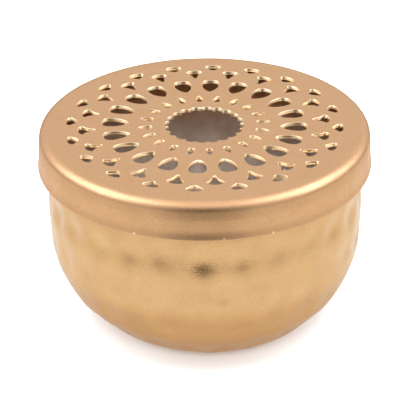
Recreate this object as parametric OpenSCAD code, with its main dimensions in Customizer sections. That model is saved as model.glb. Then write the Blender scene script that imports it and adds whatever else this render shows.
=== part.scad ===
// Incense burner: a hammered bowl, a drop-on perforated lid, and a loose ash dish with a stick socket.
// Millimetres, +Z up. The origin is the centre of the bowl's flat underside.

/* [Bowl] */
// Outside diameter of the bowl's upright wall
bowl_d = 94.6; // [94.0:0.1:95.6]
// Height of the bowl's rim above the surface it stands on
bowl_h = 62.1; // [58:0.1:70]
// Radius of the one round curve between the wall and the flat base
belly_r = 35; // [34:0.5:39]
// Height at which the upright wall runs into that curve
belly_z = 32; // [30:0.5:33]

/* [Sheet] */
// Thickness of the metal sheet of the bowl and the lid
sheet_t = 0.9; // [0.7:0.1:1.2]

/* [Lid] */
// Outside diameter of the lid at the lower edge of its skirt
lid_d = 100; // [99.6:0.1:102]
// Height of the skirt, from its lower edge to the top of the plate
skirt_h = 11.2; // [8:0.1:14]
// How much narrower the skirt is at its top, on the radius
skirt_draft = 0.7; // [0:0.1:0.9]
// Radius of the rounded edge between the skirt and the plate
edge_r = 2.8; // [1.4:0.1:3]

/* [Cut-outs] */
// Number of times the pattern repeats round the plate
repeats = 20; // [12:1:20]
// Turn of the whole pattern about the middle, in degrees
pattern_turn = 4.75; // [0:0.25:18]
// Radius of the circle on which the lobes of the middle hole are centred
lobe_ring_r = 10.1; // [10:0.1:10.6]
// Radius of one lobe of the middle hole
lobe_r = 1.75; // [1.7:0.05:2.2]
// Steps along each curve of a cut-out's outline
curve_steps = 5; // [3:1:8]

/* [Ash dish] */
// Diameter of the ash dish over its rim
dish_d = 46; // [40:1:56]
// Height of the ash dish
dish_h = 6.6; // [6:0.1:8]
// Thickness of the ash dish's sheet
dish_t = 0.8; // [0.6:0.1:1]

/* [Stick socket] */
// Diameter of the hole that holds the stick
stick_d = 2.6; // [2:0.1:3.4]
// Depth of that hole
stick_depth = 8; // [6:0.5:9]
// Diameter of the socket's body
socket_d = 7; // [6:0.5:9]

/* [Hidden] */
$fn = 96;

plate_z = bowl_h + sheet_t;        // top face of the lid, which rests on the rim
skirt_z = plate_z - skirt_h;       // lower edge of the skirt
floor_z = sheet_t;                 // inside face of the bowl's base
rim_chamfer = 0.3;                 // broken outer edge of the rim, which clears the lid's inner corner
inner_edge_r = 1.3;                // inside of the lid's rounded edge; the sheet thins where it is drawn

dish_foot_r = 15;                  // outer edge of the flat ring that the dish stands on
dish_boss_r = 6;                   // flat top of the dish's raised middle
dish_boss_h = 1.4;                 // rise of that middle, which makes room for the rivet head
dish_slope = 2;                    // run of the slope down from the middle to the standing ring

rivet_r = 1.5;                     // tail of the socket, through the dish
rivet_head_r = 2.6;
rivet_head_h = 0.7;
socket_floor = 1.2;                // solid metal under the stick's hole
socket_flange_r = 5;
socket_flange_h = 1;
boss_z = floor_z + dish_boss_h + dish_t;

// Outlines of the cut-outs. Each row is the four control points [radius, half width] of one curve,
// and the curves run along one side, from the end nearest the middle of the plate to the outer end.
DROP = [
    [[15.6, 0], [15.6, 0.75], [16.0, 1.0], [16.8, 1.0]],
    [[16.8, 1.0], [17.8, 1.0], [19.0, 0.6], [19.6, 0]]
];
PETAL = [
    [[22.6, 0], [23.1, 1.1], [25.2, 2.65], [27.9, 2.65]],
    [[27.9, 2.65], [29.6, 2.65], [30.6, 2.1], [30.6, 0]]
];
SPADE = [
    [[32.3, 0], [32.5, 0.9], [35.0, 0.6], [36.1, 2.5]],
    [[36.1, 2.5], [37.0, 2.5], [37.6, 1.5], [37.6, 0]]
];
CHEVRON = [
    [[37.9, 0], [38.1, 0.7], [39.1, 1.8], [40.1, 2.5]],
    [[40.1, 2.5], [40.8, 2.5], [41.4, 1.5], [41.4, 0]]
];

// Point on a cubic curve with control points c, at t from 0 to 1
function curve_point(c, t) =
    pow(1 - t, 3) * c[0] + 3 * t * pow(1 - t, 2) * c[1] + 3 * t * t * (1 - t) * c[2] + pow(t, 3) * c[3];

// One side of an outline, from its inner end to just before its outer end
function side_points(curves) =
    [for (c = curves, i = [0 : curve_steps - 1]) curve_point(c, i / curve_steps)];

// Whole outline: one side, the outer end, and the mirrored side back
function outline_points(curves) =
    let (side = side_points(curves), n = len(side), tip = curves[len(curves) - 1][3])
    concat(side, [tip], [for (i = [n - 1 : -1 : 1]) [side[i][0], -side[i][1]]]);

module ring_of(curves, turn) {
    for (i = [0 : repeats - 1])
        rotate(turn + i * 360 / repeats) polygon(outline_points(curves));
}

// Middle hole: a disc with a ring of round lobes
module scalloped_hole(turn) {
    circle(r = lobe_ring_r);
    for (i = [0 : repeats - 1])
        rotate(turn + i * 360 / repeats) translate([lobe_ring_r, 0]) circle(r = lobe_r, $fn = 32);
}

// Rings of cut-outs: drops and spades in line, petals, chevrons and lobes half a step between them
module cut_outs() {
    half_step = 180 / repeats;
    scalloped_hole(pattern_turn + half_step);
    ring_of(DROP, pattern_turn);
    ring_of(PETAL, pattern_turn + half_step);
    ring_of(SPADE, pattern_turn);
    ring_of(CHEVRON, pattern_turn + half_step);
}

// Filled half section of the bowl, drawn in from its outside by inset
module bowl_section(inset) {
    wall_r = bowl_d / 2;
    belly_x = wall_r - belly_r;
    polygon([
        [0, belly_z],
        [wall_r - inset, belly_z],
        [wall_r - inset, bowl_h - rim_chamfer],
        [wall_r - inset - rim_chamfer, bowl_h],
        [0, bowl_h]
    ]);
    intersection() {
        translate([0, inset]) square([wall_r, belly_z]);
        union() {
            square([belly_x, belly_z]);
            translate([belly_x, belly_z]) circle(r = belly_r - inset, $fn = 128);
        }
    }
}

module bowl() {
    color("#C89868") rotate_extrude() difference() {
        bowl_section(0);
        union() {
            bowl_section(sheet_t);
            translate([0, bowl_h - 1]) square([bowl_d / 2 - sheet_t, 2]);
        }
    }
}

// Filled half section of the lid, drawn in from its outside by inset
module lid_section(inset) {
    top_r = lid_d / 2 - skirt_draft - inset;
    corner = inset > 0 ? inner_edge_r : edge_r;
    height = skirt_h - inset;
    square([top_r - corner, height]);
    polygon([[0, 0], [lid_d / 2 - inset, 0], [top_r, height - corner], [0, height - corner]]);
    translate([top_r - corner, height - corner]) circle(r = corner, $fn = 48);
}

module lid() {
    color("#D1A67C") difference() {
        translate([0, 0, skirt_z]) rotate_extrude() difference() {
            lid_section(0);
            union() {
                lid_section(sheet_t);
                translate([0, -1]) square([lid_d / 2 - sheet_t, 1]);
            }
        }
        translate([0, 0, plate_z - 2 * sheet_t]) linear_extrude(3 * sheet_t) cut_outs();
    }
}

// Half section of the dish: raised middle, standing ring, and a flaring wall
module dish_section() {
    rim_r = dish_d / 2;
    slope_end = dish_boss_r + dish_slope;
    polygon([
        [rivet_r, dish_boss_h],
        [dish_boss_r, dish_boss_h],
        [slope_end, 0],
        [dish_foot_r, 0],
        [dish_foot_r + 3, 0.9],
        [rim_r - 1.2, dish_h - 1.4],
        [rim_r, dish_h],
        [rim_r - dish_t, dish_h],
        [rim_r - 1.2 - dish_t, dish_h - 1.2],
        [dish_foot_r + 2.6, 0.9 + dish_t],
        [dish_foot_r - 0.2, dish_t],
        [slope_end + 0.3, dish_t],
        [dish_boss_r + 0.3, dish_boss_h + dish_t],
        [rivet_r, dish_boss_h + dish_t]
    ]);
}

module ash_dish() {
    color("#8F8A88") translate([0, 0, floor_z]) rotate_extrude() dish_section();
}

module stick_socket() {
    socket_h = socket_floor + stick_depth;
    color("#B98B4E") translate([0, 0, boss_z]) difference() {
        union() {
            cylinder(h = socket_h, d = socket_d);
            cylinder(h = socket_flange_h, r = socket_flange_r);
            translate([0, 0, -dish_t]) cylinder(h = dish_t, r = rivet_r);
            translate([0, 0, -dish_t - rivet_head_h]) cylinder(h = rivet_head_h, r = rivet_head_r);
        }
        translate([0, 0, socket_floor]) cylinder(h = stick_depth + 1, d = stick_d);
    }
}

bowl();
lid();
ash_dish();
stick_socket();
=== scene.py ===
"""Hammered incense burner with a pierced lid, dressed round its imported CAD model.

Millimetres in the dataclasses, apart from the studio's lights and cards, and metres in the meshes.
+Z is up, and the origin is the centre of the bowl's flat underside.
"""

import logging
import math
from dataclasses import dataclass
from enum import Enum
from typing import Any, Iterable, Sequence

import bmesh
import bpy
import numpy as np
from mathutils import Matrix, Vector


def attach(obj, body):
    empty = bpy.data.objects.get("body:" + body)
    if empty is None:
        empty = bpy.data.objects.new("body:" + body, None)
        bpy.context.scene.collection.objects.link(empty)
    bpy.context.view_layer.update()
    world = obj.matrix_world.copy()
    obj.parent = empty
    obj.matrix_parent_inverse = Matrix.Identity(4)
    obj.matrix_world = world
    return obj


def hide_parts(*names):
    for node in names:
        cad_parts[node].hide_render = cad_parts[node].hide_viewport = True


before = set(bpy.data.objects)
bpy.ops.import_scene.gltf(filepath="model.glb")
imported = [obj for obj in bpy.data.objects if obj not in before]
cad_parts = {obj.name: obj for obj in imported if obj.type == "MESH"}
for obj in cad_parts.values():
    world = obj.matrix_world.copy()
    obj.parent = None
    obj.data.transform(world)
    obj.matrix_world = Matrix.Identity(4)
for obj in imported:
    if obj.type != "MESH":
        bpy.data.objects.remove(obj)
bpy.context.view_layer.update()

MM = 0.001
LOG = logging.getLogger("incense_burner")

WELD_MM = 0.002            # points closer than this are one
TINY = 1e-9                # keeps a division by a distance from the axis safe
NOISE_RANGE = (0.3, 0.7)   # what a soft noise mostly stays within
GRAIN_RANGE = (0.25, 0.75)
MIX_UNDER, MIX_OVER, MIX_OUT = 6, 7, 2   # colour sockets of the Mix node

Corner = tuple[float, float, float]


# ---------------------------------------------------------------- colours and nodes

def linear(hex_colour: str) -> tuple[float, float, float, float]:
    """Turns an sRGB colour into the linear one that shaders take.

    Args:
        hex_colour: six hex digits after a hash sign.

    Returns:
        Red, green, blue and an alpha of one.
    """
    channels = (int(hex_colour[i:i + 2], 16) / 255 for i in (1, 3, 5))
    red, green, blue = (c / 12.92 if c <= 0.04045 else ((c + 0.055) / 1.055) ** 2.4 for c in channels)
    return red, green, blue, 1.0


def add_node(tree: bpy.types.NodeTree, kind: str, sockets: dict[Any, Any] | None = None,
             **settings: Any) -> bpy.types.Node:
    """Adds one node with its settings and its inputs.

    Args:
        tree: node tree that takes the node.
        kind: the node's type name in Blender.
        sockets: input name or number, and the value or the output socket that feeds it.
        **settings: properties of the node itself.

    Returns:
        The new node.
    """
    node = tree.nodes.new(kind)
    for name, value in settings.items():
        setattr(node, name, value)
    for key, value in (sockets or {}).items():
        if isinstance(value, bpy.types.NodeSocket):
            tree.links.new(value, node.inputs[key])
        else:
            node.inputs[key].default_value = value
    return node


class Marks(Enum):
    """Which way the tool marks of a finish run."""

    NONE = "none"
    ROUND = "rings that widen from the axis, as spinning leaves"
    STACKED = "rings stacked along the axis, as turning leaves"


@dataclass(frozen=True)
class Metal:
    """One metal finish: two close colours, a soft gloss, a fine grain and perhaps tool marks."""

    name: str
    colour: str
    second_colour: str
    roughness: float
    roughness_spread: float
    mottle_mm: float           # size of the soft patches of the two colours
    grain_mm: float
    grain_depth_mm: float
    marks: Marks = Marks.NONE
    mark_pitch_mm: float = 0.4
    mark_depth_mm: float = 0.01
    metallic: float = 1.0
    speckle: float = 0.0       # how much the grain lightens and darkens the colour
    brush_mm: float = 0.0      # width of the fine level lines left by polishing on a spindle
    brush_stretch: float = 14.0
    brush_depth_mm: float = 0.006
    # Lacquer drifted over the rim, in a dark brown that is partly painted shade under the lid.
    overspray_shade: str = ""
    overspray_shade_z_mm: tuple[float, float] = (31.0, 51.0)
    ragged_mm: float = 8.0     # how far the overspray's edge wanders up and down
    # Chips in the lacquer, painted bright: partly bare metal, partly painted glint.
    glint_chips_mm: tuple[Corner, ...] = ()
    glint_chip_colour: str = "#FFE6BE"
    glint_chip_r_mm: tuple[float, float] = (0.25, 0.55)   # all bright within the first, none past the second

    def material(self) -> bpy.types.Material:
        """Makes the node material of this finish.

        Returns:
            A material that reads Object coordinates.
        """
        made = bpy.data.materials.new(self.name)
        made.use_nodes = True
        tree = made.node_tree
        tree.nodes.clear()
        place = add_node(tree, "ShaderNodeTexCoord").outputs["Object"]
        mottle = add_node(tree, "ShaderNodeTexNoise", {
            "Vector": place, "Scale": 1 / (self.mottle_mm * MM), "Detail": 4.0, "Roughness": 0.6})
        spread = add_node(tree, "ShaderNodeMapRange", {
            "Value": mottle.outputs["Fac"], "From Min": NOISE_RANGE[0], "From Max": NOISE_RANGE[1]})
        colour = add_node(tree, "ShaderNodeMix", {
            "Factor": spread.outputs["Result"], MIX_UNDER: linear(self.colour),
            MIX_OVER: linear(self.second_colour)}, data_type="RGBA")
        paint = colour.outputs[MIX_OUT]
        if self.overspray_shade:
            paint = self.add_overspray_shade(tree, place, mottle.outputs["Fac"], paint)
        if self.glint_chips_mm:
            paint = self.add_glint_chips(tree, place, paint)
        grain = add_node(tree, "ShaderNodeTexNoise", {
            "Vector": place, "Scale": 1 / (self.grain_mm * MM), "Detail": 2.0, "Roughness": 0.5})
        gloss = add_node(tree, "ShaderNodeMapRange", {
            "Value": mottle.outputs["Fac"], "From Min": NOISE_RANGE[0], "From Max": NOISE_RANGE[1],
            "To Min": self.roughness - self.roughness_spread,
            "To Max": self.roughness + self.roughness_spread})
        relief = add_node(tree, "ShaderNodeBump", {
            "Height": grain.outputs["Fac"], "Distance": self.grain_depth_mm * MM, "Strength": 1.0})
        if self.marks is not Marks.NONE:
            relief = self.tool_marks(tree, place, relief)
        if self.speckle:
            tone = add_node(tree, "ShaderNodeMapRange", {
                "Value": grain.outputs["Fac"], "From Min": GRAIN_RANGE[0], "From Max": GRAIN_RANGE[1],
                "To Min": 1 - self.speckle, "To Max": 1 + self.speckle}, clamp=False)
            paint = add_node(tree, "ShaderNodeVectorMath", {0: paint, "Scale": tone.outputs["Result"]},
                             operation="SCALE").outputs["Vector"]
        if self.brush_mm:
            relief = self.brush_lines(tree, place, relief)
        shader = add_node(tree, "ShaderNodeBsdfPrincipled", {
            "Base Color": paint, "Metallic": self.metallic, "Roughness": gloss.outputs["Result"],
            "Normal": relief.outputs["Normal"]})
        add_node(tree, "ShaderNodeOutputMaterial", {"Surface": shader.outputs["BSDF"]})
        return made

    def add_overspray_shade(self, tree: bpy.types.NodeTree, place: bpy.types.NodeSocket,
                      mottle: bpy.types.NodeSocket, under: bpy.types.NodeSocket) -> bpy.types.NodeSocket:
        """Adds the lacquer that drifted over the rim, which thins out downwards, in a dark brown that is
        partly painted shade: darker than the lacquer, it stands in for the shade under the lid.

        Args:
            tree: the material's node tree.
            place: Object coordinates.
            mottle: a soft noise that breaks up the edge.
            under: the bare colour.

        Returns:
            The mixed colour.
        """
        axes = add_node(tree, "ShaderNodeSeparateXYZ", {0: place})
        ragged = add_node(tree, "ShaderNodeMath", {
            0: mottle, 1: self.ragged_mm * MM, 2: axes.outputs["Z"]}, operation="MULTIPLY_ADD")
        low, high = self.overspray_shade_z_mm
        middle = self.ragged_mm / 2
        share = add_node(tree, "ShaderNodeMapRange", {
            "Value": ragged.outputs[0], "From Min": (low + middle) * MM, "From Max": (high + middle) * MM})
        return add_node(tree, "ShaderNodeMix", {
            "Factor": share.outputs["Result"], MIX_UNDER: under, MIX_OVER: linear(self.overspray_shade)},
            data_type="RGBA").outputs[MIX_OUT]

    def add_glint_chips(self, tree: bpy.types.NodeTree, place: bpy.types.NodeSocket,
                  under: bpy.types.NodeSocket) -> bpy.types.NodeSocket:
        """Adds the few small chips where the lacquer came off, painted as bright spots: bare metal with a
        painted glint.

        Args:
            tree: the material's node tree.
            place: Object coordinates.
            under: the lacquer's colour.

        Returns:
            The mixed colour.
        """
        bright_r, last_r = self.glint_chip_r_mm
        for glint_chip in self.glint_chips_mm:
            away = add_node(tree, "ShaderNodeVectorMath", {
                0: place, 1: Vector(glint_chip) * MM}, operation="DISTANCE")
            near = add_node(tree, "ShaderNodeMapRange", {
                "Value": away.outputs["Value"], "From Min": last_r * MM, "From Max": bright_r * MM})
            under = add_node(tree, "ShaderNodeMix", {
                "Factor": near.outputs["Result"], MIX_UNDER: under, MIX_OVER: linear(self.glint_chip_colour)},
                data_type="RGBA").outputs[MIX_OUT]
        return under

    def brush_lines(self, tree: bpy.types.NodeTree, place: bpy.types.NodeSocket,
                    under: bpy.types.Node) -> bpy.types.Node:
        """Adds fine broken lines that run level round the axis.

        Args:
            tree: the material's node tree.
            place: Object coordinates.
            under: the bump node that the lines lie on.

        Returns:
            The bump node that holds both.
        """
        drawn = add_node(tree, "ShaderNodeMapping", {
            "Vector": place, "Scale": Vector((1.0, 1.0, self.brush_stretch))})
        lines = add_node(tree, "ShaderNodeTexNoise", {
            "Vector": drawn.outputs["Vector"], "Scale": 1 / (self.brush_stretch * self.brush_mm * MM),
            "Detail": 3.0, "Roughness": 0.6})
        return add_node(tree, "ShaderNodeBump", {
            "Height": lines.outputs["Fac"], "Distance": self.brush_depth_mm * MM, "Strength": 1.0,
            "Normal": under.outputs["Normal"]})

    def tool_marks(self, tree: bpy.types.NodeTree, place: bpy.types.NodeSocket,
                   under: bpy.types.Node) -> bpy.types.Node:
        """Adds the rings that a spinning or turning tool leaves.

        Args:
            tree: the material's node tree.
            place: Object coordinates.
            under: the bump node that the rings lie on.

        Returns:
            The bump node that holds both.
        """
        axes = add_node(tree, "ShaderNodeSeparateXYZ", {0: place})
        if self.marks is Marks.ROUND:
            level = add_node(tree, "ShaderNodeCombineXYZ", {
                "X": axes.outputs["X"], "Y": axes.outputs["Y"]})
            run = add_node(tree, "ShaderNodeVectorMath", {0: level.outputs[0]}, operation="LENGTH")
            along = run.outputs["Value"]
        else:
            along = axes.outputs["Z"]
        rings = add_node(tree, "ShaderNodeTexNoise", {
            "W": along, "Scale": 1 / (self.mark_pitch_mm * MM), "Detail": 3.0}, noise_dimensions="1D")
        return add_node(tree, "ShaderNodeBump", {
            "Height": rings.outputs["Fac"], "Distance": self.mark_depth_mm * MM, "Strength": 1.0,
            "Normal": under.outputs["Normal"]})


# Steel sheet sprayed with a gold lacquer: a warm satin with a faint orange peel.
GOLD_LACQUER = Metal(
    "satin_gold_lacquer", "#E3B688", "#DDAF82", roughness=0.40, roughness_spread=0.03,
    mottle_mm=9.0, grain_mm=0.5, grain_depth_mm=0.035, speckle=0.09, brush_mm=0.35,
    brush_depth_mm=0.012,
    # The three chips on the hem carry a painted glint.
    glint_chips_mm=((-19.9, -45.8, 52.3), (5.2, -49.7, 52.5), (19.0, -46.2, 52.3)))
# The same lacquer, thinner over the hammer marks, so it is a little glossier.
HAMMERED_LACQUER = Metal(
    "hammered_gold_lacquer", "#DAB27F", "#D2AA79", roughness=0.25, roughness_spread=0.03,
    mottle_mm=7.0, grain_mm=0.5, grain_depth_mm=0.020, speckle=0.05, brush_mm=0.3,
    brush_depth_mm=0.030)
# Fresh edge of the sheet where the pattern was cut out: paler and brighter than the face, partly the bare
# edge and partly painted highlight that the cut walls catch.
CUT_EDGE_SHEEN = Metal(
    "cut_edge_painted_sheen", "#F5DDB8", "#EACCA0", roughness=0.30, roughness_spread=0.03,
    mottle_mm=3.0, grain_mm=0.4, grain_depth_mm=0.006)
# Bare steel inside, dulled by pressing oil and air to a light warm grey that hardly mirrors
# anything, with lacquer drifted over the rim, painted dark brown there as painted shade under the lid.
BARE_STEEL = Metal(
    "bare_pressed_steel", "#D8C9BB", "#CBBBAC", roughness=0.62, roughness_spread=0.04,
    mottle_mm=6.0, grain_mm=0.7, grain_depth_mm=0.010, metallic=0.25, overspray_shade="#9A6A40")
# Steel spun over a former: rings half a millimetre apart that catch the light.
SPUN_STEEL = Metal(
    "spun_steel", "#A29C98", "#918A85", roughness=0.34, roughness_spread=0.05,
    mottle_mm=8.0, grain_mm=0.5, grain_depth_mm=0.006,
    marks=Marks.ROUND, mark_pitch_mm=0.5, mark_depth_mm=0.012)
# Brass bar turned on a lathe: fine feed lines, already dulled.
TURNED_BRASS = Metal(
    "turned_brass", "#C9A25E", "#B98F4C", roughness=0.30, roughness_spread=0.05,
    mottle_mm=3.0, grain_mm=0.4, grain_depth_mm=0.004,
    marks=Marks.STACKED, mark_pitch_mm=0.3, mark_depth_mm=0.010)


# ---------------------------------------------------------------- shaping

def rounded(corners: Sequence[Corner], steps: int = 6) -> list[Vector]:
    """Draws a half section whose corners are rounded.

    Args:
        corners: distance from the axis, height, and the corner's radius, all in millimetres.
        steps: pieces in each rounded corner.

    Returns:
        Points in the XZ plane, in metres.
    """
    points: list[Vector] = []
    spots = [Vector((r, 0.0, z)) * MM for r, z, _ in corners]
    for i, here in enumerate(spots):
        radius = corners[i][2] * MM
        if not radius or i in (0, len(spots) - 1):
            points.append(here)
            continue
        back, ahead = (spots[i - 1] - here).normalized(), (spots[i + 1] - here).normalized()
        half = back.angle(ahead) / 2
        centre = here + (back + ahead).normalized() * radius / math.sin(half)
        reach = radius / math.tan(half)
        start, end = here + back * reach - centre, here + ahead * reach - centre
        points += [centre + start.slerp(end, k / steps).normalized() * radius for k in range(steps + 1)]
    return points


def evened(points: Sequence[Vector], spacing_mm: float) -> list[Vector]:
    """Lays points at even steps along a line, keeping its two ends.

    Args:
        points: the line, in metres.
        spacing_mm: distance that the steps are near to.

    Returns:
        The new points.
    """
    line = np.array([p[:] for p in points])
    along = np.concatenate([[0.0], np.cumsum(np.linalg.norm(np.diff(line, axis=0), axis=1))])
    stops = np.linspace(0.0, along[-1], max(2, round(along[-1] / (spacing_mm * MM)) + 1))
    columns = [np.interp(stops, along, line[:, axis]) for axis in range(3)]
    return [Vector(row) for row in np.stack(columns, axis=1)]


def draw(mesh: bmesh.types.BMesh, points: Iterable[Vector], closed: bool) -> list[bmesh.types.BMEdge]:
    """Draws a line of edges.

    Args:
        mesh: the mesh that takes them.
        points: the line's points.
        closed: whether the last point joins the first.

    Returns:
        The new edges.
    """
    verts = [mesh.verts.new(p) for p in points]
    pairs = list(zip(verts, verts[1:] + verts[:1])) if closed else list(zip(verts, verts[1:]))
    return [mesh.edges.new(pair) for pair in pairs]


def spin_section(mesh: bmesh.types.BMesh, edges: Sequence[bmesh.types.BMEdge], segments: int) -> None:
    """Spins a half section once round the Z axis and closes its seam and poles.

    Args:
        mesh: the mesh that holds the section.
        edges: the section's edges.
        segments: steps in the full turn.
    """
    verts = list(dict.fromkeys(v for e in edges for v in e.verts))
    bmesh.ops.spin(mesh, geom=verts + list(edges), cent=(0, 0, 0), axis=(0, 0, 1), angle=math.tau,
                   steps=segments, use_merge=True, use_duplicate=False)
    bmesh.ops.remove_doubles(mesh, verts=mesh.verts, dist=WELD_MM * MM)


def make_piece(name: str, mesh: bmesh.types.BMesh, finishes: Sequence[Metal],
               sharp_deg: float = 40.0) -> bpy.types.Object:
    """Turns a finished bmesh into a named object with its materials.

    Args:
        name: the piece's name.
        mesh: the bmesh, which is freed.
        finishes: materials in the order of the faces' numbers.
        sharp_deg: edges that turn more than this stay crisp.

    Returns:
        The object, in the scene.
    """
    for edge in mesh.edges:
        edge.smooth = edge.calc_face_angle(math.pi) < math.radians(sharp_deg)
    data = bpy.data.meshes.new(name)
    mesh.to_mesh(data)
    mesh.free()
    for finish in finishes:
        data.materials.append(bpy.data.materials.get(finish.name) or finish.material())
    piece = bpy.data.objects.new(name, data)
    bpy.context.scene.collection.objects.link(piece)
    return piece


# ---------------------------------------------------------------- the bowl

@dataclass(frozen=True)
class HammerRow:
    """One ring of hammer marks."""

    drop_mm: float      # distance down the wall from the rim, along the sheet
    count: int
    turn_deg: float
    depth_mm: float


@dataclass
class Bowl:
    """Round-bottomed bowl, one pressed sheet with hammer marks all round."""

    outer_r: float = 47.3
    rim_z: float = 62.1
    belly_r: float = 35.0
    belly_z: float = 32.0
    sheet: float = 0.9
    base_fillet: float = 6.0
    base_lean: float = 1.4     # how far the foot was pressed off centre, towards +X
    lean_h: float = 25.0       # the lean dies out at this height
    spacing: float = 1.0       # between points up the side
    arc_steps: int = 60
    fillet_span: int = 3       # steps of the arc that make way for the base's fillet
    lip_steps: int = 8
    segments: int = 324
    heart_z: float = 35.0      # a point in the bowl that tells the sheet's two faces apart
    mark_r: float = 2.8        # spread of one mark; it reaches about twice as far
    fade: float = 4.0          # the marks fade in over this much below the rim, and out at the base
    seed: int = 7
    turn_spread: float = 0.45  # how unevenly the marks were struck: along their ring,
    drop_spread: float = 0.5   # up and down,
    reach_spread: float = 0.06  # in size, as a share,
    depth_spread: float = 0.15  # and in depth, as a share
    rows: tuple[HammerRow, ...] = (
        HammerRow(7.0, 27, 269.3, 0.55),
        HammerRow(18.6, 27, 269.3, 0.85),
        HammerRow(31.0, 27, 263.0, 0.75),
        HammerRow(43.5, 27, 270.0, 0.75),
        HammerRow(56.0, 24, 262.0, 0.80),
        HammerRow(66.0, 20, 262.0, 0.40),
    )

    def side_line(self, inset: float) -> list[Vector]:
        """Half section of one face of the sheet, from the axis to just under the rim.

        Args:
            inset: distance inward from the outer face, in millimetres.

        Returns:
            Evenly spaced points, in metres.
        """
        radius = self.belly_r - inset
        centre_x = self.outer_r - self.belly_r
        low = math.asin((self.belly_z - inset) / radius)
        arc = [(centre_x + radius * math.cos(a), self.belly_z - radius * math.sin(a), 0.0)
               for a in np.linspace(low, 0.0, self.arc_steps)]
        foot = (arc[0][0], arc[0][1], self.base_fillet)
        line = rounded([(0.0, inset, 0.0), foot, *arc[self.fillet_span:],
                        (self.outer_r - inset, self.rim_z - self.sheet / 2, 0.0)])
        return evened(line, self.spacing)

    def build(self) -> bpy.types.Object:
        """Spins the closed half section, hammers it, and dresses it.

        Returns:
            The bowl.
        """
        mesh = bmesh.new()
        outer, inner = self.side_line(0.0), self.side_line(self.sheet)
        middle = Vector((self.outer_r - self.sheet / 2, 0.0, self.rim_z - self.sheet / 2)) * MM
        lip = [middle + Vector((math.cos(a), 0.0, math.sin(a))) * self.sheet / 2 * MM
               for a in np.linspace(0.0, math.pi, self.lip_steps + 1)[1:-1]]
        draw(mesh, [*outer, *lip, *reversed(inner)], closed=False)
        spin_section(mesh, list(mesh.edges), self.segments)
        bmesh.ops.recalc_face_normals(mesh, faces=mesh.faces)
        self.hammer(mesh)
        heart = Vector((0.0, 0.0, self.heart_z * MM))
        for face in mesh.faces:
            face.smooth = True
            face.material_index = 0 if face.normal.dot(face.calc_center_median() - heart) > 0 else 1
        return make_piece("hammered_bowl", mesh, [HAMMERED_LACQUER, BARE_STEEL])

    def hammer(self, mesh: bmesh.types.BMesh) -> None:
        """Presses every hammer mark into both faces of the sheet, and leans the foot.

        Args:
            mesh: the spun bowl, whose vertices are moved.
        """
        centre_x, belly = (self.outer_r - self.belly_r) * MM, self.belly_z * MM
        spots = np.array([v.co[:] for v in mesh.verts])
        radial = np.hypot(spots[:, 0], spots[:, 1])
        turn = np.arctan2(spots[:, 1], spots[:, 0])
        on_wall = spots[:, 2] > belly
        bend = np.arctan2(belly - spots[:, 2], np.maximum(radial - centre_x, TINY))
        wall_length = self.rim_z * MM - belly
        drop = np.where(on_wall, self.rim_z * MM - spots[:, 2], wall_length + self.belly_r * MM * bend)
        in_r = np.where(on_wall, -1.0, -np.cos(bend))
        in_z = np.where(on_wall, 0.0, np.sin(bend))
        depth = self.mark_depth(turn, drop, radial)
        # The rim stays round for the lid, and the base stays flat.
        fade = self.fade * MM
        depth *= np.clip(drop / fade, 0.0, 1.0) * np.clip((self.last_drop() - drop) / fade, 0.0, 1.0)
        safe = np.maximum(radial, TINY)
        spots[:, 0] += in_r * depth * spots[:, 0] / safe
        spots[:, 1] += in_r * depth * spots[:, 1] / safe
        spots[:, 2] += in_z * depth
        low_share = np.clip(1 - spots[:, 2] / (self.lean_h * MM), 0.0, 1.0)
        spots[:, 0] += self.base_lean * MM * low_share ** 2
        for vert, spot in zip(mesh.verts, spots):
            vert.co = spot

    def last_drop(self) -> float:
        """Gives the distance from the rim, along the sheet, to the edge of the flat base, in metres."""
        return (self.rim_z - self.belly_z + self.belly_r * math.asin(self.belly_z / self.belly_r)) * MM

    def mark_depth(self, turn: np.ndarray, drop: np.ndarray, radial: np.ndarray) -> np.ndarray:
        """Adds up the depth of the hammering at points of the sheet.

        Args:
            turn: angle round the axis, in radians.
            drop: distance down from the rim, along the sheet, in metres.
            radial: distance from the axis, in metres.

        Returns:
            Depth in metres.
        """
        chance = np.random.default_rng(self.seed)
        total = np.zeros_like(turn)
        for row in self.rows:
            for i in range(row.count):
                wobble = chance.normal(0.0, 1.0, 4)
                angle = (math.radians(row.turn_deg + i * 360 / row.count)
                         + self.turn_spread * MM * wobble[0] / (self.outer_r * MM))
                across = (np.remainder(turn - angle + math.pi, math.tau) - math.pi) * radial
                down = drop - (row.drop_mm + self.drop_spread * wobble[1]) * MM
                reach = self.mark_r * (1 + self.reach_spread * wobble[2]) * MM
                deep = row.depth_mm * (1 + self.depth_spread * wobble[3]) * MM
                total += deep * np.exp(-0.5 * (across ** 2 + down ** 2) / reach ** 2)
        return total


# ---------------------------------------------------------------- the lid

class Ring(Enum):
    """Rings of cut-outs, each with half an outline.

    It is two cubic curves whose control points give the distance from the middle and the half width.
    """

    DROP = (((15.6, 0), (15.6, 0.75), (16.0, 1.0), (16.8, 1.0)),
            ((16.8, 1.0), (17.8, 1.0), (19.0, 0.6), (19.6, 0)))
    PETAL = (((22.6, 0), (23.1, 1.1), (25.2, 2.65), (27.9, 2.65)),
             ((27.9, 2.65), (29.6, 2.65), (30.6, 2.1), (30.6, 0)))
    SPADE = (((32.3, 0), (32.5, 0.9), (35.0, 0.6), (36.1, 2.5)),
             ((36.1, 2.5), (37.0, 2.5), (37.6, 1.5), (37.6, 0)))
    CHEVRON = (((37.9, 0), (38.1, 0.7), (39.1, 1.8), (40.1, 2.5)),
               ((40.1, 2.5), (40.8, 2.5), (41.4, 1.5), (41.4, 0)))


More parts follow.
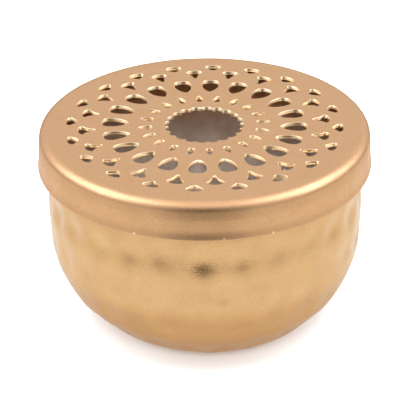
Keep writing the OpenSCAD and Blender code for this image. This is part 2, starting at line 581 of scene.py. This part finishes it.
@dataclass
class PiercedLid:
    """Drop-on lid: a flat pierced plate with a rounded edge and a short flared skirt."""

    plate_z: float = 63.0
    skirt_h: float = 11.2
    lower_r: float = 50.0
    upper_r: float = 49.3
    edge_r: float = 2.8
    inner_edge_r: float = 1.2  # the sheet thins where the edge is drawn round
    sheet: float = 0.9
    flat_r: float = 46.0       # the flat plate ends here and the rounded edge's section starts
    hollow: float = 0.2        # how far the skirt leans in at its top, and out again at its waist
    waist_drop: float = 5.0    # from the plate down to the waist
    flare: float = 0.1         # how much further out the skirt is where its hem starts to flare
    flare_h: float = 2.2
    waist_fillet: float = 14.0
    inner_waist_fillet: float = 12.0
    hem_r: float = 0.3
    edge_steps: int = 10
    repeats: int = 20
    turn_deg: float = 4.75
    lobe_ring_r: float = 10.1
    lobe_r: float = 1.75
    lobe_steps: int = 11
    curve_steps: int = 10
    roll_r: float = 0.12       # edge that the punch rolls over
    wall_run: float = 0.30     # how much a cut wall leans in from the top face to the underside
    segments: int = 360
    rim_band: float = 0.5      # every cut-out ends further than this inside the flat plate's edge
    flat_cosine: float = 0.999  # a face of the plate that is level to this stays flat
    wall_cosine: float = 0.96  # and one that is less level than this was cut

    def outline(self, ring: Ring) -> list[Vector]:
        """Draws one cut-out of a ring, lying along +X on the plate's top face.

        Args:
            ring: which cut-out.

        Returns:
            Its points in order, in metres.
        """
        side: list[tuple[float, float]] = []
        for curve in ring.value:
            ends = [Vector((r, w)) for r, w in curve]
            for k in range(self.curve_steps):
                t = k / self.curve_steps
                at = (ends[0] * (1 - t) ** 3 + ends[1] * 3 * t * (1 - t) ** 2
                      + ends[2] * 3 * t * t * (1 - t) + ends[3] * t ** 3)
                side.append((at.x, at.y))
        tip = ring.value[-1][-1]
        whole = [*side, tip, *((r, -w) for r, w in reversed(side[1:]))]
        return [Vector((r, w, self.plate_z)) * MM for r, w in whole]

    def middle_outline(self, turn: float) -> list[Vector]:
        """Draws the middle hole: short arcs of round lobes that meet in cusps.

        Args:
            turn: angle of the first lobe, in radians.

        Returns:
            Its points in order, in metres.
        """
        step = math.tau / self.repeats
        # The lobes cross each other on the line halfway between them.
        side = self.lobe_ring_r * math.sin(step / 2)
        reach = self.lobe_ring_r * math.cos(step / 2) + math.sqrt(self.lobe_r ** 2 - side ** 2)
        cusp = Vector((reach * math.cos(step / 2), reach * math.sin(step / 2)))
        limit = math.atan2(cusp.y, cusp.x - self.lobe_ring_r)
        points = []
        for i in range(self.repeats):
            spin = Matrix.Rotation(turn + i * step, 3, "Z")
            for a in np.linspace(-limit, limit, self.lobe_steps + 1)[:-1]:
                out, across = self.lobe_ring_r + self.lobe_r * math.cos(a), self.lobe_r * math.sin(a)
                points.append(spin @ Vector((out, across, self.plate_z)) * MM)
        return points

    def outlines(self) -> list[list[Vector]]:
        """Draws every cut-out of the plate.

        Returns:
            Their points in metres, the middle hole's first.
        """
        half_step = math.pi / self.repeats
        turn = math.radians(self.turn_deg)
        every = [self.middle_outline(turn + half_step)]
        for ring in Ring:
            start = turn + (half_step if ring in (Ring.PETAL, Ring.CHEVRON) else 0.0)
            for i in range(self.repeats):
                spin = Matrix.Rotation(start + i * math.tau / self.repeats, 3, "Z")
                every.append([spin @ p for p in self.outline(ring)])
        return every

    def taper_walls(self, lower: Sequence[bmesh.types.BMVert],
                    outlines: Sequence[Sequence[Vector]]) -> None:
        """Draws each cut-out in towards its own middle on the underside, as a punch leaves it.

        Args:
            lower: vertices of the underside.
            outlines: the cut-outs on the top face.
        """
        def key(spot: Vector) -> tuple[int, int]:
            """Names a place in the plate, the same for points that are as good as one."""
            return round(spot.x / (WELD_MM * MM)), round(spot.y / (WELD_MM * MM))

        at = {key(v.co): v for v in lower}
        for outline in outlines:
            middle = sum(outline, Vector()) / len(outline)
            size = sum((p - middle).length for p in outline) / len(outline)
            shrink = 1 - self.wall_run * MM / size
            for point in outline:
                vert = at[key(point)]
                vert.co.xy = middle.xy + (vert.co.xy - middle.xy) * shrink

    def build(self) -> bpy.types.Object:
        """Fills the pierced plate, gives it its thickness, and joins the spun skirt to it.

        Returns:
            The lid.
        """
        mesh = bmesh.new()
        outlines = self.outlines()
        holes = [edge for outline in outlines for edge in draw(mesh, outline, closed=True)]
        rim = [Vector((math.cos(a), math.sin(a), self.plate_z / self.flat_r)) * self.flat_r * MM
               for a in np.arange(self.segments) * math.tau / self.segments]
        rim_edges = draw(mesh, rim, closed=True)
        bmesh.ops.triangle_fill(mesh, use_beauty=True, use_dissolve=False, edges=holes + rim_edges,
                                normal=(0, 0, 1))
        top_faces = list(mesh.faces)
        lower = bmesh.ops.extrude_face_region(mesh, geom=top_faces, use_keep_orig=True)["geom"]
        moved = [v for v in lower if isinstance(v, bmesh.types.BMVert)]
        bmesh.ops.translate(mesh, verts=moved, vec=(0, 0, -self.sheet * MM))
        self.taper_walls(moved, outlines)
        low, high = (self.plate_z - 0.6 * self.sheet) * MM, (self.plate_z - 0.4 * self.sheet) * MM
        walls = [f for f in mesh.faces if low < f.calc_center_median().z < high]
        rim_from = (self.flat_r - self.rim_band) * MM
        outer = [f for f in walls if f.calc_center_median().xy.length > rim_from]
        cut_edges = dict.fromkeys(e for f in walls if f not in outer for e in f.edges)
        edges = [e for e in cut_edges if min(v.co.z for v in e.verts) > high]
        bmesh.ops.delete(mesh, geom=outer, context="FACES_ONLY")
        bmesh.ops.bevel(mesh, geom=edges, offset=self.roll_r * MM, offset_type="OFFSET", segments=2,
                        profile=0.5, affect="EDGES", material=-1, clamp_overlap=False, loop_slide=False)
        self.add_skirt(mesh)
        bmesh.ops.recalc_face_normals(mesh, faces=mesh.faces)
        self.mark_faces(mesh)
        return make_piece("pierced_lid", mesh, [GOLD_LACQUER, CUT_EDGE_SHEEN, BARE_STEEL])

    def add_skirt(self, mesh: bmesh.types.BMesh) -> None:
        """Spins the rounded edge and the flared skirt, and welds them to the plate.

        Args:
            mesh: the lid's mesh, which holds the plate.
        """
        t = self.sheet
        low, top = self.plate_z - self.skirt_h, self.plate_z
        # Seen from the side the skirt is hollowed a little: it leans in at the top and flares at the hem.
        top_r, waist_r = self.upper_r - self.hollow, self.upper_r + self.hollow
        flare_r = waist_r + self.flare
        waist_z, flare_z = top - self.waist_drop, low + self.flare_h
        section = rounded([
            (self.flat_r, top, 0), (top_r, top, self.edge_r), (waist_r, waist_z, self.waist_fillet),
            (flare_r, flare_z, self.waist_fillet), (self.lower_r, low, self.hem_r),
            (self.lower_r - t, low, self.hem_r), (flare_r - t, flare_z, self.waist_fillet),
            (waist_r - t, waist_z, self.inner_waist_fillet), (top_r - t, top - t, self.inner_edge_r),
            (self.flat_r, top - t, 0)], steps=self.edge_steps)
        skirt = bmesh.new()
        draw(skirt, section, closed=False)
        spin_section(skirt, list(skirt.edges), self.segments)
        data = bpy.data.meshes.new("skirt")
        skirt.to_mesh(data)
        skirt.free()
        mesh.from_mesh(data)
        bpy.data.meshes.remove(data)
        bmesh.ops.remove_doubles(mesh, verts=mesh.verts, dist=2 * WELD_MM * MM)

    def mark_faces(self, mesh: bmesh.types.BMesh) -> None:
        """Sets which faces are lacquered, cut or bare, and keeps the flat plate flat.

        Args:
            mesh: the finished lid.
        """
        inside = Vector((0.0, 0.0, (self.plate_z - self.skirt_h) * MM))
        for face in mesh.faces:
            middle = face.calc_center_median()
            on_plate = middle.xy.length < self.flat_r * MM
            face.smooth = not (on_plate and abs(face.normal.z) > self.flat_cosine)
            if on_plate and abs(face.normal.z) < self.wall_cosine:
                face.material_index = 1
            elif on_plate:
                face.material_index = 0 if face.normal.z > 0 else 2
            else:
                face.material_index = 0 if face.normal.dot(middle - inside) > 0 else 2


# ---------------------------------------------------------------- what stands inside

@dataclass
class AshDish:
    """Small spun dish that catches the ash, with a raised middle for the socket."""

    floor_z: float = 0.9
    rim_r: float = 23.0
    height: float = 6.6
    sheet: float = 0.8
    hole_r: float = 1.5
    boss_r: float = 6.0
    boss_rise: float = 1.4
    slope: float = 2.0
    foot_r: float = 15.0
    segments: int = 160

    def build(self) -> bpy.types.Object:
        """Spins the dish's closed half section.

        Returns:
            The dish.
        """
        t, h = self.sheet, self.height
        slope_end = self.boss_r + self.slope
        corners = [
            (self.hole_r, self.boss_rise, 0), (self.boss_r, self.boss_rise, 1.0), (slope_end, 0, 1.0),
            (self.foot_r, 0, 2.0), (self.foot_r + 3, 0.9, 3.0), (self.rim_r - 1.2, h - 1.4, 1.5),
            (self.rim_r, h, 0.36), (self.rim_r - t, h, 0.36), (self.rim_r - 1.2 - t, h - 1.2, 1.2),
            (self.foot_r + 2.6, 0.9 + t, 2.4), (self.foot_r - 0.2, t, 1.6), (slope_end + 0.3, t, 1.2),
            (self.boss_r + 0.3, self.boss_rise + t, 1.0), (self.hole_r, self.boss_rise + t, 0)]
        section = rounded([(r, self.floor_z + z, fillet) for r, z, fillet in corners], steps=5)
        mesh = bmesh.new()
        draw(mesh, section, closed=True)
        spin_section(mesh, list(mesh.edges), self.segments)
        bmesh.ops.recalc_face_normals(mesh, faces=mesh.faces)
        for face in mesh.faces:
            face.smooth = True
        return make_piece("spun_ash_dish", mesh, [SPUN_STEEL])


@dataclass
class StickSocket:
    """Turned brass socket that holds one stick, riveted through the dish."""

    dish_top_z: float = 3.1
    dish_sheet: float = 0.8
    body_r: float = 3.5
    flange_r: float = 5.0
    flange_h: float = 1.0
    bore_r: float = 1.3
    bore_depth: float = 8.0
    bore_floor: float = 1.2
    drill_point: float = 0.3   # how much deeper the drill's point went than the bore's floor
    groove_depth: float = 0.25
    rivet_r: float = 1.5
    head_r: float = 2.6
    head_h: float = 0.7
    segments: int = 72

    def build(self) -> bpy.types.Object:
        """Spins the socket's half section, from the middle of the bore's floor to the rivet's head.

        Returns:
            The socket.
        """
        top = self.bore_floor + self.bore_depth
        under = -self.dish_sheet
        groove_r = self.body_r - self.groove_depth
        corners = [
            (0, self.bore_floor - self.drill_point, 0), (self.bore_r, self.bore_floor, 0.1),
            (self.bore_r, top - 0.25, 0.02), (self.bore_r + 0.35, top, 0.1),
            (self.body_r - 0.1, top, 0.5), (self.body_r, top - 2.2, 0.05),
            (groove_r, top - 2.4, 0.1), (groove_r, top - 2.9, 0.1),
            (self.body_r, top - 3.1, 0.05), (self.body_r, self.flange_h, 0.4),
            (self.flange_r, self.flange_h - 0.1, 0.3), (self.flange_r, 0, 0.05), (self.rivet_r, 0, 0),
            (self.rivet_r, under, 0), (self.head_r, under - 0.1, 0.1),
            (self.head_r - 0.6, under - self.head_h, 0.4), (0, under - self.head_h, 0)]
        section = rounded([(r, self.dish_top_z + z, fillet) for r, z, fillet in corners], steps=4)
        mesh = bmesh.new()
        draw(mesh, section, closed=False)
        spin_section(mesh, list(mesh.edges), self.segments)
        bmesh.ops.recalc_face_normals(mesh, faces=mesh.faces)
        for face in mesh.faces:
            face.smooth = True
        return make_piece("turned_stick_socket", mesh, [TURNED_BRASS], sharp_deg=50.0)


# ---------------------------------------------------------------- the studio

@dataclass(frozen=True)
class SoftBox:
    """One soft box: its place and size in metres, its power in watts."""

    name: str
    place: tuple[float, float, float]
    size: tuple[float, float]
    power: float
    on_gloss: bool = True      # whether it shows as a highlight on the metal


@dataclass
class Studio:
    """White floor, soft boxes, what the metal reflects, and the camera.

    The camera's distances are in millimetres, and those of the lights, the floor and the cards in metres.
    """

    target_z: float = 63.0
    elevation_deg: float = 26.71
    distance: float = 565.0
    yaw_deg: float = -0.153
    pitch_deg: float = 2.275
    roll_deg: float = 0.59
    lens_mm: float = 171.1
    sensor_mm: float = 36.0
    gloss_tint: tuple[float, float, float] = (0.88, 0.85, 1.0)   # of the boxes that the metal reflects
    box_aim: tuple[float, float, float] = (0.0, 0.0, 0.04)
    boxes: tuple[SoftBox, ...] = (
        SoftBox("left_box", (-1.26, -0.08, 1.22), (1.6, 1.6), 21.0),
        SoftBox("right_box", (1.26, 0.04, 1.22), (1.6, 1.6), 21.0),
        SoftBox("top_box", (0.0, 0.0, 1.6), (1.6, 1.6), 36.0, on_gloss=False),
        SoftBox("front_box", (0.0, -1.5, 0.9), (1.4, 0.9), 36.0, on_gloss=False),
    )
    room_low: float = 0.60     # light from the horizon
    room_high: float = 1.0     # and from overhead
    spot_place: tuple[float, float, float] = (0.0, -0.25, 1.3)
    spot_power: float = 3000.0
    spot_size: float = 0.35
    spot_angle_deg: float = 5.6
    spot_blend: float = 0.3
    floor_r: float = 4.0
    floor_segments: int = 64
    floor_drop: float = 0.0001  # keeps the floor clear of the bowl's underside
    fibre_scale: float = 900.0
    flag_near: float = 0.19
    flag_far: float = 1.0
    flag_top: float = 0.9
    flag_lift: float = 0.001
    flag_spread: float = 0.39
    flag_level: float = 0.03
    bounce_level: float = 1.15
    bounce_reach: float = 0.4
    # Share of that reach, and the tone there: gold-tinted shade under the bowl, brightest just clear of it.
    bounce_tones: tuple[tuple[float, str], ...] = (
        (0.05, "#A48B78"), (0.10, "#D6C5B4"), (0.15, "#F4ECE1"), (0.21, "#FFFFFF"), (0.27, "#FBF9F5"),
        (0.36, "#F5F2EC"), (0.60, "#DFDBD6"), (1.0, "#A9A6A2"))

    def camera(self) -> None:
        """Sets the camera a little over half a metre from the lid, looking down at it."""
        data = bpy.data.cameras.new("camera")
        data.lens, data.sensor_width = self.lens_mm, self.sensor_mm
        data.clip_start = 0.01
        camera = bpy.data.objects.new("camera", data)
        rise = math.radians(self.elevation_deg)
        spot = Vector((0.0, -self.distance * math.cos(rise),
                       self.target_z + self.distance * math.sin(rise))) * MM
        aim = (Matrix.Rotation(math.pi / 2 - rise, 4, "X")
               @ Matrix.Rotation(-math.radians(self.yaw_deg), 4, "Y")
               @ Matrix.Rotation(-math.radians(self.pitch_deg), 4, "X")
               @ Matrix.Rotation(-math.radians(self.roll_deg), 4, "Z"))
        camera.matrix_world = Matrix.Translation(spot) @ aim
        bpy.context.scene.collection.objects.link(camera)
        bpy.context.scene.camera = camera

    def hang(self, data: bpy.types.Light, place: tuple[float, float, float],
             aim: tuple[float, float, float], on_gloss: bool) -> None:
        """Hangs one light and turns it to what it lights.

        Args:
            data: the light, whose name the object takes.
            place: where it hangs.
            aim: the point that it faces.
            on_gloss: whether it shows as a highlight on the metal.
        """
        light = bpy.data.objects.new(data.name, data)
        light.location = place
        light.rotation_euler = (Vector(aim) - Vector(place)).to_track_quat("-Z", "Y").to_euler()
        light.visible_glossy = on_gloss
        bpy.context.scene.collection.objects.link(light)

    def soft_box(self, box: SoftBox) -> None:
        """Hangs one soft box, aimed at the middle of the burner.

        Args:
            box: what it is and where it hangs.
        """
        data = bpy.data.lights.new(box.name, "AREA")
        data.shape = "RECTANGLE"
        data.size, data.size_y = box.size
        data.energy = box.power
        data.color = self.gloss_tint if box.on_gloss else (1.0, 1.0, 1.0)
        self.hang(data, box.place, self.box_aim, box.on_gloss)

    def spot(self) -> None:
        """Hangs the lamp that shines down through the cut-outs, wide enough to blur their shadows."""
        data = bpy.data.lights.new("spot", "SPOT")
        data.energy = self.spot_power
        data.shadow_soft_size = self.spot_size
        data.spot_size = math.radians(self.spot_angle_deg)
        data.spot_blend = self.spot_blend
        self.hang(data, self.spot_place, (0.0, 0.0, self.target_z * MM), on_gloss=False)

    def room(self) -> None:
        """Lights the room from every side, a little more from overhead than from the horizon."""
        world = bpy.data.worlds.new("studio")
        world.use_nodes = True
        tree = world.node_tree
        tree.nodes.clear()
        way = add_node(tree, "ShaderNodeTexCoord").outputs["Generated"]
        axes = add_node(tree, "ShaderNodeSeparateXYZ", {0: way})
        level = add_node(tree, "ShaderNodeMapRange", {
            "Value": axes.outputs["Z"], "From Min": 0.0, "From Max": 1.0,
            "To Min": self.room_low, "To Max": self.room_high})
        glow = add_node(tree, "ShaderNodeBackground", {
            "Color": linear("#FFFFFF"), "Strength": level.outputs["Result"]})
        add_node(tree, "ShaderNodeOutputWorld", {"Surface": glow.outputs[0]})
        bpy.context.scene.world = world

    def lay(self, name: str, mesh: bmesh.types.BMesh, material: bpy.types.Material) -> bpy.types.Object:
        """Puts a sheet or a card of the studio in the scene.

        Args:
            name: its name.
            mesh: its mesh, which is freed.
            material: what it is made of.

        Returns:
            The object.
        """
        data = bpy.data.meshes.new(name)
        mesh.to_mesh(data)
        mesh.free()
        data.materials.append(material)
        made = bpy.data.objects.new(name, data)
        bpy.context.scene.collection.objects.link(made)
        return made

    def floor(self) -> None:
        """Lays a wide floor of white paper, which the metal doesn't reflect."""
        mesh = bmesh.new()
        bmesh.ops.create_circle(mesh, cap_ends=True, radius=self.floor_r, segments=self.floor_segments)
        bmesh.ops.translate(mesh, verts=mesh.verts, vec=(0, 0, -self.floor_drop))
        paper = bpy.data.materials.new("white_paper")
        paper.use_nodes = True
        tree = paper.node_tree
        tree.nodes.clear()
        place = add_node(tree, "ShaderNodeTexCoord").outputs["Object"]
        fibre = add_node(tree, "ShaderNodeTexNoise", {
            "Vector": place, "Scale": self.fibre_scale, "Detail": 3.0})
        tone = add_node(tree, "ShaderNodeMix", {
            "Factor": fibre.outputs["Fac"], MIX_UNDER: linear("#E9E9E8"), MIX_OVER: linear("#E5E5E4")},
            data_type="RGBA")
        shader = add_node(tree, "ShaderNodeBsdfPrincipled", {
            "Base Color": tone.outputs[MIX_OUT], "Roughness": 0.9})
        add_node(tree, "ShaderNodeOutputMaterial", {"Surface": shader.outputs["BSDF"]})
        floor = self.lay("floor", mesh, paper)
        floor.visible_glossy = False

    def bounce(self) -> None:
        """Lays the glowing sheet that the metal reflects in place of the floor, a painted reflection with
        painted shade near the bowl.
        """
        mesh = bmesh.new()
        bmesh.ops.create_circle(mesh, cap_ends=True, radius=self.floor_r, segments=self.floor_segments)
        sheet = bpy.data.materials.new("bounce_sheet")
        sheet.use_nodes = True
        tree = sheet.node_tree
        tree.nodes.clear()
        place = add_node(tree, "ShaderNodeTexCoord").outputs["Object"]
        away = add_node(tree, "ShaderNodeVectorMath", {0: place}, operation="LENGTH")
        part = add_node(tree, "ShaderNodeMapRange", {
            "Value": away.outputs["Value"], "From Min": 0.0, "From Max": self.bounce_reach})
        tone = add_node(tree, "ShaderNodeValToRGB", {"Fac": part.outputs["Result"]})
        ramp = tone.color_ramp
        # A new ramp already has two elements.
        for share, _ in self.bounce_tones[2:]:
            ramp.elements.new(share)
        for element, (share, colour) in zip(ramp.elements, self.bounce_tones):
            element.position, element.color = share, linear(colour)
        glow = add_node(tree, "ShaderNodeEmission", {
            "Color": tone.outputs["Color"], "Strength": self.bounce_level})
        add_node(tree, "ShaderNodeOutputMaterial", {"Surface": glow.outputs[0]})
        bounce = self.lay("bounce_sheet", mesh, sheet)
        bounce.visible_camera = bounce.visible_diffuse = bounce.visible_shadow = False
        bounce.visible_transmission = False

    def flag(self) -> None:
        """Stands a faintly glowing dark card on the camera's side, which only shows in what the metal
        reflects: a painted dark reflection.
        """
        mesh = bmesh.new()
        bmesh.ops.create_grid(mesh, x_segments=8, y_segments=2, size=1.0)
        for vert in mesh.verts:
            # The card's first half lies on the floor and widens away from the object; the rest stands up.
            row = round(vert.co.y)   # -1 at the near end, 0 at the fold and 1 at the top
            reach = self.flag_near if row < 0 else self.flag_far
            height = self.flag_top if row > 0 else self.flag_lift
            vert.co = (vert.co.x * reach * self.flag_spread, -reach, height)
        dark_glow = bpy.data.materials.new("painted_dark_reflection")
        dark_glow.use_nodes = True
        tree = dark_glow.node_tree
        tree.nodes.clear()
        # A faint warm glow, seen only in the metal: painted dark reflection, not a lit card.
        glow = add_node(tree, "ShaderNodeEmission", {
            "Color": linear("#FFB870"), "Strength": self.flag_level})
        add_node(tree, "ShaderNodeOutputMaterial", {"Surface": glow.outputs[0]})
        flag = self.lay("flag", mesh, dark_glow)
        flag.visible_camera = flag.visible_diffuse = flag.visible_shadow = False
        flag.visible_transmission = False

    def build(self) -> None:
        """Sets up the camera, the floor, what the metal reflects, and the lights."""
        self.camera()
        self.room()
        self.floor()
        self.bounce()
        self.flag()
        for box in self.boxes:
            self.soft_box(box)
        self.spot()
        bpy.context.scene.view_settings.view_transform = "Standard"


# ---------------------------------------------------------------- putting it together

def main() -> None:
    """Builds the studio and every piece, and ties each piece to its CAD body."""
    logging.basicConfig(level=logging.INFO, format="%(message)s")
    Studio().build()
    pieces = (
        (Bowl(), "bowl", "bowl", "bowl_gold"),
        (PiercedLid(), "lid", "lid", "lid_gold"),
        (AshDish(), "ash_dish", "holder", "dish_steel"),
        (StickSocket(), "stick_socket", "holder", "socket_brass"),
    )
    for maker, node, body, slot in pieces:
        piece = maker.build()
        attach(piece, body)
        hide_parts(node)
        LOG.info("%s: %d faces, rides on %s", piece.name, len(piece.data.polygons), body)


if __name__ == "__main__":
    main()
